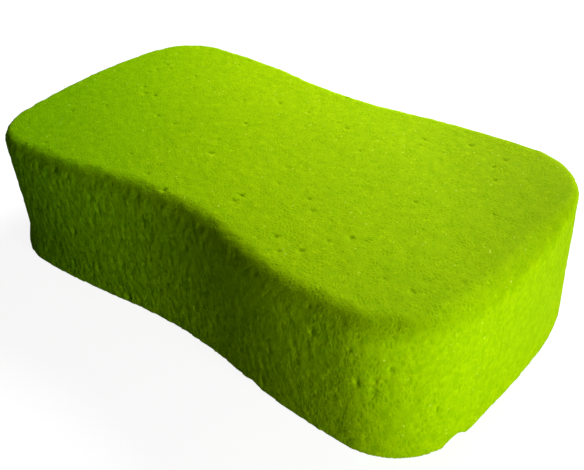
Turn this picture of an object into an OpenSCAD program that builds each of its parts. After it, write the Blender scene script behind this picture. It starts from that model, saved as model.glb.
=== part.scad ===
// Cleaning sponge: one block of open-cell foam, die-cut from a flat slab to an
// hourglass outline, with a shallow grip waist on each long side and softly
// eased rims around its top and bottom faces.
//
// Frame: X along the length, Y across, Z up. The origin is at the centre of
// the underside, which the block rests on. All sizes are in millimetres.
//
// The outline is a chain of arcs that run smoothly into each other: a bowed
// end between two upright corners, a lobe side next to each corner, and a
// hollow waist between the lobes. The sizes and the directions in which the
// arcs meet are given, and the radii of the end, corner and lobe follow from
// them. Each arc is a band of foam turned about the arc's own centre, so the
// rims keep their radius all the way round. The bands meet on radial faces,
// and one flat-sided core fills the block inside them.

/* [Block] */
// Length over the two bowed ends
length = 205; // [195:1:215]
// Width across the widest part of the lobes
lobe_w = 106; // [104:0.5:106.5]
// Width across the grip waist
waist_w = 96; // [95.5:0.5:98]
// Thickness of the slab that the block is cut from
thickness = 50; // [25:1:80]

/* [Outline] */
// Direction in which the end bow runs into a corner, in degrees from the length
end_angle = 12; // [10:0.5:14]
// Direction in which a corner runs into the lobe side
lobe_angle = 87; // [85:0.5:88]
// Direction in which the lobe side turns into the hollow waist
waist_angle = 99; // [98.5:0.1:99.5]
// Radius of the hollow side of the grip waist
waist_r = 180; // [160:2:200]

/* [Rims] */
// Radius of the eased edge around the top and bottom faces
rim_r = 3; // [1:0.5:5]

/* [Hidden] */

// Roundness of the preview mesh
$fn = 240;
// Depth of the turned bands, and how far inside the outline the core's corners lie
band = 16;
core_inset = band / 2;

// The lobe side and the waist share the step in width between them
lobe_r = (lobe_w - waist_w) / 2 / (1 - sin(waist_angle)) - waist_r;

// What the end bow and the corner have left to span, along and across
span_x = length / 2 - lobe_r * (cos(lobe_angle) - cos(waist_angle)) + waist_r * cos(waist_angle);
span_y = lobe_w / 2 - lobe_r * (1 - sin(lobe_angle));

// How far an arc of radius 1 carries the outline along and across
end_step = [1 - cos(end_angle), sin(end_angle)];
corner_step = [cos(end_angle) - cos(lobe_angle), sin(lobe_angle) - sin(end_angle)];

// The two radii that fill both spans
steps_cross = end_step.x * corner_step.y - end_step.y * corner_step.x;
end_r = (span_x * corner_step.y - span_y * corner_step.x) / steps_cross;
corner_r = (end_step.x * span_y - end_step.y * span_x) / steps_cross;
assert(corner_r >= band, "The corners come out too tight: widen the waist or narrow the lobes.");

// Centres of the arcs in the quarter where X and Y are positive
end_c = [length / 2 - end_r, 0];
corner_c = end_c + (end_r - corner_r) * toward(end_angle);
lobe_c = corner_c - (lobe_r - corner_r) * toward(lobe_angle);
waist_c = [0, waist_w / 2 + waist_r];

// The core's corners in that quarter, one behind each meeting of two arcs
core_corners = [
    corner_c + (corner_r - core_inset) * toward(end_angle),
    corner_c + (corner_r - core_inset) * toward(lobe_angle),
    lobe_c + (lobe_r - core_inset) * toward(waist_angle)
];

function toward(angle) = [cos(angle), sin(angle)];
function reversed(list) = [for (i = [len(list) - 1 : -1 : 0]) list[i]];
function scaled(list, sx, sy) = [for (p = list) [sx * p.x, sy * p.y]];

// Upright section of a band, with its outer wall at X = 0 and both rims eased
module band_section() {
    translate([-band, 0]) square([band - rim_r, thickness]);
    translate([-band, rim_r]) square([band, thickness - 2 * rim_r]);
    for (z = [rim_r, thickness - rim_r]) {
        translate([-rim_r, z]) circle(rim_r);
    }
}

// Moves by whole millimetres, then by ten-thousandths, then by what is left,
// so that no digit of a derived position is rounded off and the bands meet exactly
module place(p) {
    whole = [for (v = p) floor(v)];
    fine = [for (v = p - whole) floor(v * 10000) / 10000];
    translate(whole) translate(fine) translate(p - whole - fine) children();
}

// Band along an arc that bulges away from the block
module convex_band(centre, r, from, to) {
    place(centre) rotate_extrude(angle = to - from, start = from)
        place([r, 0]) band_section();
}

// Band along an arc that is hollowed into the block
module hollow_band(centre, r, from, to) {
    place(centre) rotate_extrude(angle = to - from, start = from)
        place([r, 0]) mirror([1, 0]) band_section();
}

// The corner and the lobe side next to it, in the quarter with X and Y positive
module quarter_bands() {
    convex_band(corner_c, corner_r, end_angle, lobe_angle);
    convex_band(lobe_c, lobe_r, lobe_angle, waist_angle);
}

// Solid middle of the block, with its walls inside the bands
module core() {
    linear_extrude(thickness) polygon(concat(
        core_corners,
        reversed(scaled(core_corners, -1, 1)),
        scaled(core_corners, -1, -1),
        reversed(scaled(core_corners, 1, -1))
    ));
}

module foam_block() {
    color("yellowgreen") union() {
        core();
        for (mx = [0, 1], my = [0, 1]) {
            mirror([mx, 0, 0]) mirror([0, my, 0]) quarter_bands();
        }
        for (turn = [0, 180]) {
            rotate(turn) convex_band(end_c, end_r, -end_angle, end_angle);
            rotate(turn) hollow_band(waist_c, waist_r, -waist_angle, waist_angle - 180);
        }
    }
}

foam_block();
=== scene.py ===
"""A cleaning sponge: one block of lime-green open-cell foam on a pale table top.

The block is a slab of soft polyurethane foam, die-cut to an hourglass outline. Its faces show
the cut cells of the foam, with larger burst bubbles here and there, and its upright walls carry
the fine upright marks of the die.
"""

import math

import bpy
from mathutils import Euler, Matrix, Vector


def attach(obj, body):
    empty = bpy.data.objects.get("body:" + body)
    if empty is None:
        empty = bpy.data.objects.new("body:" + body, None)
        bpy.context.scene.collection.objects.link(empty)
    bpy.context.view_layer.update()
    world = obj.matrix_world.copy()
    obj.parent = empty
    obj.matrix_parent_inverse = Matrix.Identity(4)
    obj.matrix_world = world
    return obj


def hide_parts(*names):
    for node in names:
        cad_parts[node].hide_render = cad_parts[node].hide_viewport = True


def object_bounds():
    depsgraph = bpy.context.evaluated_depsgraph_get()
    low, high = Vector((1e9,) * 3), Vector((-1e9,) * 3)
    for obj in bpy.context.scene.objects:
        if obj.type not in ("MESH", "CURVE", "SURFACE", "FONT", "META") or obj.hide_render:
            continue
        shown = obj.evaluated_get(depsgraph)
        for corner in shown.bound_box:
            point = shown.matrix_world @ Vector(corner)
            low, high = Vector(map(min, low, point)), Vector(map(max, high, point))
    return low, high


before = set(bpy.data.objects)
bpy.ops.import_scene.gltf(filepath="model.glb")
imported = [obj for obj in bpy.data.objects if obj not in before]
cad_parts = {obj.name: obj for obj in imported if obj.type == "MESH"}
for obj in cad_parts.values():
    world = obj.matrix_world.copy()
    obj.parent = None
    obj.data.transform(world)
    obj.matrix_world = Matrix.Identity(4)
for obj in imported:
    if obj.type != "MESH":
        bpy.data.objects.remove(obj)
cad_low, cad_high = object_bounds()


# ---------------------------------------------------------------- camera
# A 50 mm lens looks down on the block's near right corner from close by, so that the right end
# stands large and the left end runs away. The camera is held slightly out of level.

CAMERA_AT = (0.1733, -0.1717, 0.1922)
CAMERA_AZIMUTH = math.radians(43.6)
CAMERA_DOWN = math.radians(36.5)
CAMERA_ROLL = math.radians(-4.4)
CAMERA_LENS = 49.6
SENSOR_WIDTH = 36.0
NEAREST_SEEN = 0.01

camera_data = bpy.data.cameras.new("camera")
camera_data.lens = CAMERA_LENS
camera_data.sensor_width = SENSOR_WIDTH
camera_data.clip_start = NEAREST_SEEN
camera = bpy.data.objects.new("camera", camera_data)
camera.location = CAMERA_AT
level_turn = Euler((math.pi / 2 - CAMERA_DOWN, 0, CAMERA_AZIMUTH), "XYZ").to_matrix()
camera.rotation_euler = (level_turn @ Matrix.Rotation(CAMERA_ROLL, 3, "Z")).to_euler()
bpy.context.scene.collection.objects.link(camera)
bpy.context.scene.camera = camera


# ---------------------------------------------------------------- foam block
# The whole sponge: one piece of open-cell polyurethane foam, stamped out of a flat slab with a
# band-steel die. Nothing is fixed to it. The near wall leans in a little at the top of the
# waist, as soft foam does when it is squeezed under a die.

# Length, lobe width and thickness are the frame's own, and the rest of the outline's sizes and
# directions are given here.
MM = 0.001
length = cad_high[0] - cad_low[0]
lobe_width = cad_high[1] - cad_low[1]
thickness = cad_high[2] - cad_low[2]
waist_width = 96 * MM
waist_radius = 180 * MM
end_angle = math.radians(12)
lobe_angle = math.radians(87)
waist_angle = math.radians(99)


def toward(angle):
    return Vector((math.cos(angle), math.sin(angle), 0))


# The lobe and the waist share the step in width between them, and the end bow and the corner
# fill what is left of the length and the width.
lobe_radius = (lobe_width - waist_width) / 2 / (1 - math.sin(waist_angle)) - waist_radius
span = Vector((
    length / 2
    - lobe_radius * (math.cos(lobe_angle) - math.cos(waist_angle))
    + waist_radius * math.cos(waist_angle),
    lobe_width / 2 - lobe_radius * (1 - math.sin(lobe_angle)),
))
end_step = Vector((1 - math.cos(end_angle), math.sin(end_angle)))
corner_step = Vector((
    math.cos(end_angle) - math.cos(lobe_angle),
    math.sin(lobe_angle) - math.sin(end_angle),
))
steps_cross = end_step.x * corner_step.y - end_step.y * corner_step.x
end_radius = (span.x * corner_step.y - span.y * corner_step.x) / steps_cross
corner_radius = (end_step.x * span.y - end_step.y * span.x) / steps_cross

end_centre = Vector((length / 2 - end_radius, 0, 0))
corner_centre = end_centre + (end_radius - corner_radius) * toward(end_angle)
lobe_centre = corner_centre - (lobe_radius - corner_radius) * toward(lobe_angle)
waist_centre = Vector((0, waist_width / 2 + waist_radius, 0))

SHAPE_INPUTS = {
    "Thickness": thickness,
    "End centre": end_centre,
    "End radius": end_radius,
    "Corner centre": corner_centre,
    "Corner radius": corner_radius,
    "Lobe centre": lobe_centre,
    "Lobe radius": lobe_radius,
    "Waist centre": waist_centre,
    "Waist radius": waist_radius,
    "Top rim radius": 2.3 * MM,
    "Soft rim radius": 7.0 * MM,
    "Bottom rim radius": 0.4 * MM,
    "Worn foot": Vector((101, -3, 0)) * MM,
    "Worn rim radius": 3.5 * MM,
    "Torn foot": Vector((97, -31, 0)) * MM,
    "Torn rim radius": 3.8 * MM,
    "Nibble depth": 9.0 * MM,
    "Nibble length": 7.0 * MM,
    "Skin allowance": 0.45 * MM,
    "Foot flare": 2.4 * MM,
    "Foot corner": Vector((-94, -42, 0)) * MM,
    "Lean": 3.9 * MM,
    "Lean centre": -12 * MM,
    "Lean plateau": 12 * MM,
    "Lean reach": 66 * MM,
    "Wobble": 0.8 * MM,
    "Wobble length": 38 * MM,
    "Face grain": 0.6 * MM,
    "Wall grain": 1.3 * MM,
    "Rim raggedness": 2.6 * MM,
    "Streak depth": 4.0 * MM,
    "Streak width": 1.5 * MM,
    "Bubble spacing": 4.6 * MM,
    "Bubble radius": 0.95 * MM,
    "Bubble depth": 0.5 * MM,
    "Bubble share": 0.5,
    "Cell step": 0.6 * MM,
    "Seed": 4.0,
}

shape = bpy.data.node_groups.new("foam_block_shape", "GeometryNodeTree")
shape.is_modifier = True
shape.interface.new_socket("Mesh", in_out="OUTPUT", socket_type="NodeSocketGeometry")
for name, value in SHAPE_INPUTS.items():
    kind = "NodeSocketVector" if isinstance(value, Vector) else "NodeSocketFloat"
    shape.interface.new_socket(name, in_out="INPUT", socket_type=kind)
shape.interface.new_socket("Foam", in_out="INPUT", socket_type="NodeSocketMaterial")


def feed(tree, socket, value):
    """Links an output to a socket, or sets the socket to a plain value."""
    if isinstance(value, bpy.types.NodeSocket):
        tree.links.new(value, socket)
    else:
        socket.default_value = value


def add_node(tree, kind, inputs=None, **settings):
    """A new node with its settings made and its inputs fed, by name or by number."""
    node = tree.nodes.new(kind)
    for key, value in settings.items():
        setattr(node, key, value)
    for key, value in (inputs or {}).items():
        feed(tree, node.inputs[key], value)
    return node


def calc(tree, operation, *values):
    """One step of arithmetic on numbers."""
    inputs = dict(enumerate(values))
    return add_node(tree, "ShaderNodeMath", inputs, operation=operation).outputs[0]


def vector_calc(tree, operation, *values):
    """One step of arithmetic on vectors: DISTANCE gives a number."""
    node = add_node(tree, "ShaderNodeVectorMath", dict(enumerate(values)), operation=operation)
    return node.outputs["Value" if operation == "DISTANCE" else "Vector"]


def ramp(tree, value, low, high, at_low=0.0, at_high=1.0):
    """Eases from one level to another as value goes from low to high, and stays there."""
    node = add_node(tree, "ShaderNodeMapRange", {0: value, 1: low, 2: high, 3: at_low, 4: at_high})
    node.interpolation_type = "SMOOTHSTEP"
    return node.outputs[0]


given = shape.nodes.new("NodeGroupInput").outputs
place = shape.nodes.new("GeometryNodeInputPosition").outputs[0]


def step(operation, *values):
    return calc(shape, operation, *values)


def vector_step(operation, *values):
    return vector_calc(shape, operation, *values)


def part_of(vector, axis):
    return add_node(shape, "ShaderNodeSeparateXYZ", {0: vector}).outputs[axis]


def stretched(vector, x, y, z):
    return vector_step("MULTIPLY", vector, (x, y, z))


def scaled(vector, factor):
    node = add_node(shape, "ShaderNodeVectorMath", {"Vector": vector, "Scale": factor}, operation="SCALE")
    return node.outputs[0]


def noise(vector, wave, detail=1.0, seed_step=0.0):
    """Smooth noise about zero, from -0.5 to 0.5, as a number and as a vector."""
    node = add_node(
        shape,
        "ShaderNodeTexNoise",
        {
            "Vector": vector,
            "W": step("ADD", given["Seed"], seed_step),
            "Scale": step("DIVIDE", 1.0, wave),
            "Detail": detail,
            "Roughness": 0.55,
        },
        noise_dimensions="4D",
    )
    number = step("SUBTRACT", node.outputs[0], 0.5)
    return number, vector_step("SUBTRACT", node.outputs[1], (0.5, 0.5, 0.5))


# The near wall's lean grows with height, and fades along the wall and into the block.
LEAN_ACROSS = (-12 * MM, -44 * MM)
off_centre = step("ABSOLUTE", step("SUBTRACT", part_of(place, "X"), given["Lean centre"]))
lean_along = ramp(shape, off_centre, given["Lean reach"], given["Lean plateau"])
lean = step("MULTIPLY", given["Lean"], lean_along)
lean = step("MULTIPLY", lean, ramp(shape, part_of(place, "Z"), 0.0, given["Thickness"]))
lean = step("MULTIPLY", lean, ramp(shape, part_of(place, "Y"), *LEAN_ACROSS))
upright = vector_step(
    "SUBTRACT", place, add_node(shape, "ShaderNodeCombineXYZ", {"Y": lean}).outputs[0]
)

# Soft foam is never cut quite true: the walls and the top wander, the resting face less so.
FREE_HEIGHT = 8 * MM
RESTING_SHARE = 0.35
freedom = ramp(shape, part_of(place, "Z"), 0.0, FREE_HEIGHT, RESTING_SHARE, 1.0)
wander = scaled(noise(upright, given["Wobble length"])[1], step("MULTIPLY", given["Wobble"], freedom))
cut = vector_step("ADD", upright, wander)

# Distance outside the outline, in the quarter that all four quarters mirror
quarter = vector_step("MULTIPLY", vector_step("ABSOLUTE", cut), (1, 1, 0))


def outside(centre, radius):
    return step("SUBTRACT", vector_step("DISTANCE", quarter, given[centre]), given[radius])


def left_of(start, end, point_from):
    """1 where the quarter's point lies left of the line through two centres."""
    along = vector_step("SUBTRACT", given[end], given[start])
    off = vector_step("SUBTRACT", quarter, given[point_from])
    return step("GREATER_THAN", part_of(vector_step("CROSS_PRODUCT", along, off), "Z"), 0.0)


def pick(chosen, otherwise, mask):
    """chosen where mask is 1, otherwise where it is 0."""
    return step("MULTIPLY_ADD", step("SUBTRACT", chosen, otherwise), mask, otherwise)


past_end = left_of("End centre", "Corner centre", "Corner centre")
past_lobe = step("SUBTRACT", 1.0, left_of("Lobe centre", "Corner centre", "Corner centre"))
at_corner = step("MULTIPLY", past_end, past_lobe)
at_waist = left_of("Lobe centre", "Waist centre", "Lobe centre")
bulging = step("MAXIMUM", outside("End centre", "End radius"), outside("Lobe centre", "Lobe radius"))
bulging = pick(outside("Corner centre", "Corner radius"), bulging, at_corner)
hollow = step("MULTIPLY", outside("Waist centre", "Waist radius"), -1.0)
off_wall = pick(hollow, bulging, at_waist)

# The foot of the near left corner flares out to a point
FLARE_ALONG = (60 * MM, 6 * MM)
FLARE_HEIGHT = 12 * MM
on_table = stretched(place, 1, 1, 0)
from_corner = vector_step("DISTANCE", on_table, given["Foot corner"])
flare = step("MULTIPLY", given["Foot flare"], ramp(shape, from_corner, *FLARE_ALONG))
flare = step("MULTIPLY", flare, ramp(shape, part_of(place, "Z"), FLARE_HEIGHT, 0.0))
off_wall = step("SUBTRACT", off_wall, flare)

# Distance above or below the slab, and the eased rim where face and wall meet
middle = step("MULTIPLY", given["Thickness"], 0.5)
height = step("SUBTRACT", part_of(cut, "Z"), middle)
off_face = step("SUBTRACT", step("ABSOLUTE", height), middle)
# The die cut more cleanly towards the right end
CLEANER_ALONG = (10 * MM, 60 * MM)
CLEAN_SHARE = 0.55
tearing = ramp(shape, part_of(place, "X"), *CLEANER_ALONG, 1.0, CLEAN_SHARE)

# The top rim is softest along the near side and round the right end. It is torn all along, and
# the sharp bottom rim has lost a few nibbles.
NEAR_ACROSS = (-14 * MM, -40 * MM)
NEAR_ALONG = (-96 * MM, -66 * MM)
END_ALONG = (76 * MM, 96 * MM)
END_ACROSS = (36 * MM, 8 * MM)
near_side = step(
    "MULTIPLY",
    ramp(shape, part_of(place, "Y"), *NEAR_ACROSS),
    ramp(shape, part_of(place, "X"), *NEAR_ALONG),
)
right_end = step(
    "MULTIPLY",
    ramp(shape, part_of(place, "X"), *END_ALONG),
    ramp(shape, part_of(place, "Y"), *END_ACROSS),
)
softness = step("MAXIMUM", near_side, right_end)
top_rim = pick(given["Soft rim radius"], given["Top rim radius"], softness)
TEAR_LENGTH = 4.5 * MM
SHARPEST_RIM = 0.8 * MM
NIBBLE_START = 0.1
torn = step("MULTIPLY", noise(upright, TEAR_LENGTH, 2.0, 11.0)[0], given["Rim raggedness"])
torn = step("MULTIPLY", torn, tearing)
top_rim = step("MAXIMUM", step("ADD", top_rim, torn), SHARPEST_RIM)
bitten = noise(upright, given["Nibble length"], 1.0, 29.0)[0]
nibbled = step("MAXIMUM", step("SUBTRACT", bitten, NIBBLE_START), 0.0)
bottom_rim = step("MULTIPLY_ADD", nibbled, given["Nibble depth"], given["Bottom rim radius"])
# The foot of the right end is worn round, and a small piece is torn from it near the corner
WORN_REACH = (26 * MM, 8 * MM)
TORN_REACH = (5.5 * MM, 2.5 * MM)
from_worn = vector_step("DISTANCE", on_table, given["Worn foot"])
bottom_rim = pick(given["Worn rim radius"], bottom_rim, ramp(shape, from_worn, *WORN_REACH))
from_torn = vector_step("DISTANCE", on_table, given["Torn foot"])
bottom_rim = pick(given["Torn rim radius"], bottom_rim, ramp(shape, from_torn, *TORN_REACH))
rim = pick(top_rim, bottom_rim, step("GREATER_THAN", height, 0.0))
wall_in = step("ADD", off_wall, rim)
face_in = step("ADD", off_face, rim)
inner = step("MINIMUM", step("MAXIMUM", wall_in, face_in), 0.0)
outer = step(
    "SQRT",
    step(
        "ADD",
        step("POWER", step("MAXIMUM", wall_in, 0.0), 2.0),
        step("POWER", step("MAXIMUM", face_in, 0.0), 2.0),
    ),
)
off_block = step("SUBTRACT", step("ADD", inner, outer), rim)

# How far a point belongs to the upright wall rather than to a flat face
RIM_BLEND = 1.5 * MM
on_wall = ramp(shape, step("SUBTRACT", off_wall, off_face), -RIM_BLEND, RIM_BLEND)

# Torn cells roughen the cut: even and fine on the faces, drawn out upright on the walls, where
# the deepest of them join into streaks. The foam's skin stands a little past the cut.
FACE_GRAIN_LENGTH = 2.4 * MM
WALL_GRAIN_LENGTH = 2.2 * MM
STREAK_START = 0.06
face_grain = step("MULTIPLY", noise(upright, FACE_GRAIN_LENGTH, 3.0, 3.0)[0], given["Face grain"])
drawn = stretched(upright, 1, 1, 0.58)
wall_grain = step("MULTIPLY", noise(drawn, WALL_GRAIN_LENGTH, 3.0, 7.0)[0], given["Wall grain"])
streak = noise(drawn, given["Streak width"], 2.0, 17.0)[0]
streak = step("MAXIMUM", step("SUBTRACT", streak, STREAK_START), 0.0)
wall_grain = step("MULTIPLY_ADD", streak, given["Streak depth"], wall_grain)
wall_grain = step("MULTIPLY", wall_grain, tearing)
off_block = step("ADD", off_block, pick(wall_grain, face_grain, on_wall))
off_block = step("SUBTRACT", off_block, given["Skin allowance"])


def bubbles(vector, spacing, radius, share, seed_step):
    """How deep a point lies in a burst bubble: some cells of a random packing hold one."""
    shifted = vector_step("ADD", vector, step("MULTIPLY", given["Seed"], seed_step * 0.1))
    cells = add_node(
        shape,
        "ShaderNodeTexVoronoi",
        {"Vector": shifted, "Scale": step("DIVIDE", 1.0, spacing), "Randomness": 1.0},
    )
    chance = cells.outputs["Color"]
    held = step("LESS_THAN", part_of(chance, 0), share)
    size = step("MULTIPLY", radius, ramp(shape, part_of(chance, 1), 0.0, 1.0, 0.5, 1.0))
    reach = step("MULTIPLY", cells.outputs["Distance"], spacing)
    return step("SUBTRACT", step("MULTIPLY", held, size), reach)


# Bubbles gather in loose patches
PATCH_LENGTH = 55 * MM
SPARSE_SHARE = 0.25
patchy = ramp(shape, noise(upright, PATCH_LENGTH, 1.0, 23.0)[0], -0.12, 0.14, SPARSE_SHARE, 1.0)
share = step("MULTIPLY", given["Bubble share"], patchy)
face_bubbles = bubbles(upright, given["Bubble spacing"], given["Bubble radius"], share, 1.0)
wall_bubbles = bubbles(
    stretched(upright, 1, 1, 0.45), given["Bubble spacing"], given["Bubble radius"], share, 2.0
)
burst = pick(wall_bubbles, face_bubbles, on_wall)
burst = step("MINIMUM", burst, step("ADD", off_block, given["Bubble depth"]))
BUBBLE_LIP = 0.5 * MM
off_foam = step("SMOOTH_MAX", off_block, burst, BUBBLE_LIP)

# Space is filled with a density that is SKIN_LEVEL at the block's surface and falls by 1 for
# each metre outwards, and the skin is drawn where the density is SKIN_LEVEL.
SKIN_LEVEL = 1.0
margin = Vector((4, 4, 4)) * MM
low = Vector(cad_low) - margin
high = Vector(cad_high) + margin
cell_step = given["Cell step"]
counts = [step("CEIL", step("DIVIDE", high[i] - low[i], cell_step)) for i in range(3)]
solid = add_node(
    shape,
    "GeometryNodeVolumeCube",
    {
        "Density": step("SUBTRACT", SKIN_LEVEL, off_foam),
        "Background": 0.0,
        "Min": low,
        "Max": high,
        "Resolution X": counts[0],
        "Resolution Y": counts[1],
        "Resolution Z": counts[2],
    },
)
skin = add_node(
    shape,
    "GeometryNodeVolumeToMesh",
    {"Volume": solid.outputs[0], "Threshold": SKIN_LEVEL, "Adaptivity": 0.0},
)

# A bubble that lies wholly inside the block is dropped: only the largest island is the block
island = add_node(shape, "GeometryNodeInputMeshIsland").outputs["Island Index"]
island_size = add_node(
    shape, "GeometryNodeAccumulateField", {"Value": 1.0, "Group ID": island}
).outputs["Total"]
biggest = add_node(
    shape, "GeometryNodeAttributeStatistic", {"Geometry": skin.outputs[0], "Attribute": island_size}
).outputs["Max"]
enclosed = step("LESS_THAN", island_size, step("SUBTRACT", biggest, 0.5))
block = add_node(
    shape, "GeometryNodeDeleteGeometry", {"Geometry": skin.outputs[0], "Selection": enclosed}
)

# What would sink into the table is pressed flat on it
TABLE_GAP = 0.05 * MM
pressed = step("MAXIMUM", part_of(place, "Z"), TABLE_GAP)
resting = add_node(
    shape,
    "ShaderNodeCombineXYZ",
    {"X": part_of(place, "X"), "Y": part_of(place, "Y"), "Z": pressed},
)
settled_block = add_node(
    shape, "GeometryNodeSetPosition", {"Geometry": block.outputs[0], "Position": resting.outputs[0]}
)
smooth = add_node(shape, "GeometryNodeSetShadeSmooth", {"Geometry": settled_block.outputs[0]})
realized = add_node(shape, "GeometryNodeRealizeInstances", {"Geometry": smooth.outputs[0]})
finished = add_node(
    shape,
    "GeometryNodeSetMaterial",
    {"Geometry": realized.outputs[0], "Material": given["Foam"]},
)
shape.links.new(finished.outputs[0], shape.nodes.new("NodeGroupOutput").inputs[0])

# The finish: foam coloured right through by its dye, matt and a little translucent. Its skin is a
# net of fine struts around open cells, whose hollows are darkened with painted shade. On the walls
# the cells are drawn upright.
# DEEP is the deeper tone of the foam's mottling, and also the painted shade of its cell hollows
DEEP = (0.20, 0.42, 0.0, 1)
LIME = (0.355, 0.575, 0.0, 1)
# PALE is both a paler foam tone and a painted highlight where struts catch the light
PALE = (0.47, 0.70, 0.0, 1)
# The colour of the painted shade in the walls' upright streaks
STREAK_SHADE_COLOUR = (0.085, 0.20, 0.0, 1)
GLINT = (0.68, 0.86, 0.06, 1)
# Painted shade towards the near left corner, farthest from the lamps
NEAR_LEFT_SHADE = (0.60, 0.80, 1.0, 1)
FAR_RIGHT_TINT = (0.78, 0.77, 1.0, 1)

# Sizes of what the skin shows
FACE_CELL = 1.25 * MM
WALL_CELL = 1.35 * MM
FINE_CELL = 0.55 * MM
SWAY = 0.4 * MM
SWAY_LENGTH = 1.6 * MM
SPECK = 1.35 * MM
GLINT_SPACING = 2.4 * MM
SHADE_STREAK_WIDTH = 1.5 * MM
MOTTLE = 3.2 * MM
BROAD_MOTTLE = 45 * MM

foam = bpy.data.materials.new("lime_foam")
foam.use_nodes = True
finish = foam.node_tree
shader = finish.nodes["Principled BSDF"]
shader.inputs["Specular IOR Level"].default_value = 0.01
shader.inputs["Subsurface Weight"].default_value = 0.5
shader.inputs["Subsurface Radius"].default_value = (1.0, 0.9, 0.15)
shader.inputs["Subsurface Scale"].default_value = 4.0 * MM

surface = finish.nodes.new("ShaderNodeTexCoord").outputs
turned_up = add_node(finish, "ShaderNodeSeparateXYZ", {0: surface["Normal"]}).outputs["Z"]
side = ramp(finish, calc(finish, "ABSOLUTE", turned_up), 0.75, 0.35)


def mottle(vector, wave, detail=2.0):
    """Smooth noise from 0 to 1 over the foam's skin."""
    inputs = {"Vector": vector, "Scale": 1 / wave, "Detail": detail, "Roughness": 0.6}
    return add_node(finish, "ShaderNodeTexNoise", inputs).outputs[0]


def blend_by(factor, low_value, high_value):
    """One number or another by a factor from 0 to 1."""
    return add_node(finish, "ShaderNodeMix", {0: factor, 2: low_value, 3: high_value}).outputs[0]


def tint(factor, low_colour, high_colour, mixing="MIX"):
    """One colour over another by a factor from 0 to 1."""
    node = add_node(
        finish,
        "ShaderNodeMix",
        {"Factor": factor, 6: low_colour, 7: high_colour},
        data_type="RGBA",
        blend_type=mixing,
    )
    return node.outputs[2]


def open_cells(vector, size):
    """1 in the hollow of each foam cell, 0 on the struts between the cells."""
    inputs = {"Vector": vector, "Scale": 1 / size, "Randomness": 1.0}
    net = add_node(finish, "ShaderNodeTexVoronoi", inputs, feature="DISTANCE_TO_EDGE")
    return ramp(finish, net.outputs["Distance"], 0.03, 0.34)


# The net of struts isn't regular, so the cells are pulled about a little
unsteady = add_node(
    finish,
    "ShaderNodeTexNoise",
    {"Vector": surface["Object"], "Scale": 1 / SWAY_LENGTH, "Detail": 1.0},
)
wavy = vector_calc(finish, "SUBTRACT", unsteady.outputs["Color"], (0.5, 0.5, 0.5))
wavy = vector_calc(finish, "MULTIPLY", wavy, (SWAY, SWAY, SWAY))
wavy = vector_calc(finish, "ADD", wavy, surface["Object"])
upright_skin = vector_calc(finish, "MULTIPLY", wavy, (1, 1, 0.5))

cells = blend_by(side, open_cells(wavy, FACE_CELL), open_cells(upright_skin, WALL_CELL))
fine_cells = open_cells(wavy, FINE_CELL)
drawn_skin = vector_calc(finish, "MULTIPLY", surface["Object"], (1, 1, 0.4))
uneven = blend_by(side, mottle(surface["Object"], 4 * MM), mottle(drawn_skin, 3.4 * MM))
hollow_depth = calc(finish, "MULTIPLY", cells, ramp(finish, uneven, 0.35, 0.68, 0.35, 1.0))
FINE_SHARE = 0.35
DEEPEST = 1 + FINE_SHARE
relief = calc(finish, "MULTIPLY_ADD", fine_cells, FINE_SHARE, hollow_depth)
raised = calc(finish, "SUBTRACT", DEEPEST, relief)

bump = add_node(finish, "ShaderNodeBump", {"Height": raised, "Strength": 0.35, "Distance": 0.35 * MM})
feed(finish, shader.inputs["Normal"], bump.outputs[0])

# Painted shade: the deeper a cell hollow, the darker its colour
shade = calc(finish, "MULTIPLY", relief, 0.5)
colour = tint(shade, LIME, DEEP)
# Pale specks: partly the foam's uneven tone, partly painted highlights where struts catch the light
specks = ramp(finish, mottle(surface["Object"], SPECK, 1.0), 0.6, 0.74)
colour = tint(calc(finish, "MULTIPLY", specks, 0.65), colour, PALE)

# Painted highlight: here and there a stray cell wall shows a pale glint
stray = add_node(
    finish,
    "ShaderNodeTexVoronoi",
    {"Vector": surface["Object"], "Scale": 1 / GLINT_SPACING, "Randomness": 1.0},
)
lottery = add_node(finish, "ShaderNodeSeparateColor", {0: stray.outputs["Color"]}).outputs[0]
glint = calc(
    finish,
    "MULTIPLY",
    ramp(finish, stray.outputs["Distance"], 0.2, 0.1),
    calc(finish, "LESS_THAN", lottery, 0.2),
)
colour = tint(calc(finish, "MULTIPLY", glint, 0.65), colour, GLINT)

# Painted shade: dark upright streaks on the walls, plainest on the shaded near wall away from the lit
# right end
stretched_skin = vector_calc(finish, "MULTIPLY", surface["Object"], (1, 1, 0.55))
where = add_node(finish, "ShaderNodeSeparateXYZ", {0: surface["Object"]}).outputs
streaks = ramp(finish, mottle(stretched_skin, SHADE_STREAK_WIDTH), 0.48, 0.66)
streak_shading = calc(finish, "MULTIPLY", side, ramp(finish, where["X"], 10 * MM, 70 * MM, 0.6, 0.14))
streak_shading = calc(finish, "MULTIPLY", streak_shading, ramp(finish, where["Y"], -30 * MM, 30 * MM, 1.0, 0.3))
colour = tint(calc(finish, "MULTIPLY", streaks, streak_shading), colour, STREAK_SHADE_COLOUR)

# The foam is mottled at two sizes
mottled = ramp(finish, mottle(surface["Object"], MOTTLE, 3.0), 0.38, 0.66)
mottled = calc(finish, "MULTIPLY", mottled, blend_by(side, 0.27, 0.45))
colour = tint(mottled, colour, DEEP)
broad = ramp(finish, mottle(surface["Object"], BROAD_MOTTLE, 2.0), 0.3, 0.7, 0.0, 0.15)
colour = tint(broad, colour, DEEP)

# Painted shade: the foam is darker and greener towards the near left corner, farthest from the lamps
across = calc(finish, "MULTIPLY_ADD", where["Y"], 0.9, where["X"])
near_left_shading = ramp(finish, across, 25 * MM, -130 * MM)
colour = tint(near_left_shading, colour, NEAR_LEFT_SHADE, "MULTIPLY")
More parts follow.
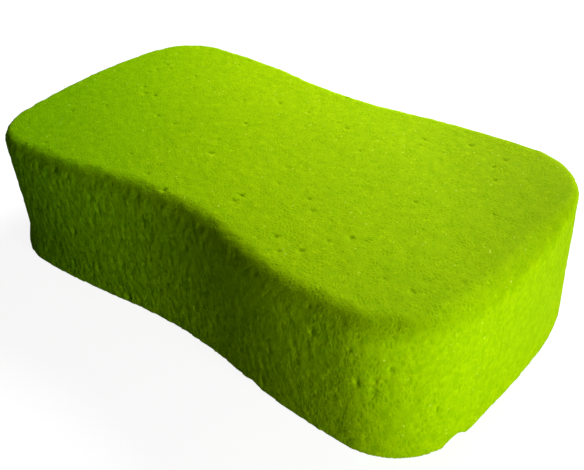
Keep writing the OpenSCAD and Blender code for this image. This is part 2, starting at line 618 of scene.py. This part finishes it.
# The top is darker towards the far right corner
far_right_darkening = ramp(finish, calc(finish, "ADD", where["X"], where["Y"]), 62 * MM, 125 * MM)
far_right_darkening = calc(finish, "MULTIPLY", far_right_darkening, calc(finish, "SUBTRACT", 1.0, side))
colour = tint(far_right_darkening, colour, FAR_RIGHT_TINT, "MULTIPLY")
feed(finish, shader.inputs["Base Color"], colour)
feed(finish, shader.inputs["Roughness"], ramp(finish, relief, 0.0, DEEPEST, 0.72, 0.95))

# The block is drawn once from the rule, thinned, cleared of points that coincide, and kept as a
# plain mesh
KEPT_SHARE = 0.4
COINCIDENT = 0.005 * MM
seedling = bpy.data.objects.new("seedling", bpy.data.meshes.new("seedling"))
bpy.context.scene.collection.objects.link(seedling)
rule = seedling.modifiers.new("shape", "NODES")
rule.node_group = shape
for item in shape.interface.items_tree:
    if item.in_out == "INPUT" and item.name in SHAPE_INPUTS:
        rule[item.identifier] = SHAPE_INPUTS[item.name]
    elif item.in_out == "INPUT" and item.name == "Foam":
        rule[item.identifier] = foam
thinned = seedling.modifiers.new("thinned", "DECIMATE")
thinned.ratio = KEPT_SHARE
welded = seedling.modifiers.new("welded", "WELD")
welded.merge_threshold = COINCIDENT
evaluated = seedling.evaluated_get(bpy.context.evaluated_depsgraph_get())
foam_mesh = bpy.data.meshes.new_from_object(evaluated)
foam_mesh.name = "foam_block"
bpy.data.objects.remove(seedling)
foam_block = bpy.data.objects.new("foam_body", foam_mesh)
bpy.context.scene.collection.objects.link(foam_block)

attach(foam_block, "root")
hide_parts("foam_block")


# ---------------------------------------------------------------- table top and lights
# A plain white table top and backdrop. The camera sees them evenly bright, partly by their own
# glow. All other rays meet a dim, slightly green table top and a dim backdrop, which throw only a
# little light on the foam. One disc lamp stands behind and above the block, a small low one off
# its right end.

TABLE_HALF = 6.0
table_mesh = bpy.data.meshes.new("table_top")
table_corners = [(-1, -1), (1, -1), (1, 1), (-1, 1)]
table_mesh.from_pydata(
    [(x * TABLE_HALF, y * TABLE_HALF, 0) for x, y in table_corners],
    [],
    [(0, 1, 2, 3)],
)
table_top = bpy.data.objects.new("table_top", table_mesh)
bpy.context.scene.collection.objects.link(table_top)
white = bpy.data.materials.new("white_table")
white.use_nodes = True
tabletop = white.node_tree
tabletop.nodes.clear()
seen = tabletop.nodes.new("ShaderNodeLightPath").outputs["Is Camera Ray"]
glow = add_node(tabletop, "ShaderNodeEmission", {"Color": (1, 1, 1, 1), "Strength": 0.88})
lit = add_node(tabletop, "ShaderNodeBsdfDiffuse", {"Color": (0.30, 0.30, 0.30, 1)})
shown = add_node(tabletop, "ShaderNodeAddShader", {0: glow.outputs[0], 1: lit.outputs[0]})
throwing = add_node(tabletop, "ShaderNodeBsdfDiffuse", {"Color": (0.42, 0.50, 0.36, 1)})
either = add_node(
    tabletop, "ShaderNodeMixShader", {0: seen, 1: throwing.outputs[0], 2: shown.outputs[0]}
)
add_node(tabletop, "ShaderNodeOutputMaterial", {"Surface": either.outputs[0]})
table_mesh.materials.append(white)

CENTRE = Vector((0, 0, thickness / 2))
LAMPS = {
    "overhead_lamp": (Vector((0.0, 0.338, 0.300)), 0.24, 2.85),
    "side_lamp": (Vector((0.410, -0.095, 0.085)), 0.14, 1.2),
}
for name, (spot, size, power) in LAMPS.items():
    lamp_data = bpy.data.lights.new(name, "AREA")
    lamp_data.shape = "DISK"
    lamp_data.size = size
    lamp_data.energy = power
    lamp = bpy.data.objects.new(name, lamp_data)
    lamp.location = spot
    lamp.rotation_euler = (spot - CENTRE).to_track_quat("Z", "Y").to_euler()
    lamp.visible_camera = False
    bpy.context.scene.collection.objects.link(lamp)

world = bpy.data.worlds.new("studio")
world.use_nodes = True
air = world.node_tree
sky = air.nodes["Background"]
sky.inputs["Color"].default_value = (1, 1, 1, 1)
looked_at = air.nodes.new("ShaderNodeLightPath").outputs["Is Camera Ray"]
DIM = 0.06
BRIGHT = 0.88
feed(air, sky.inputs["Strength"], calc(air, "MULTIPLY_ADD", looked_at, BRIGHT - DIM, DIM))
bpy.context.scene.world = world
bpy.context.scene.view_settings.view_transform = "Standard"
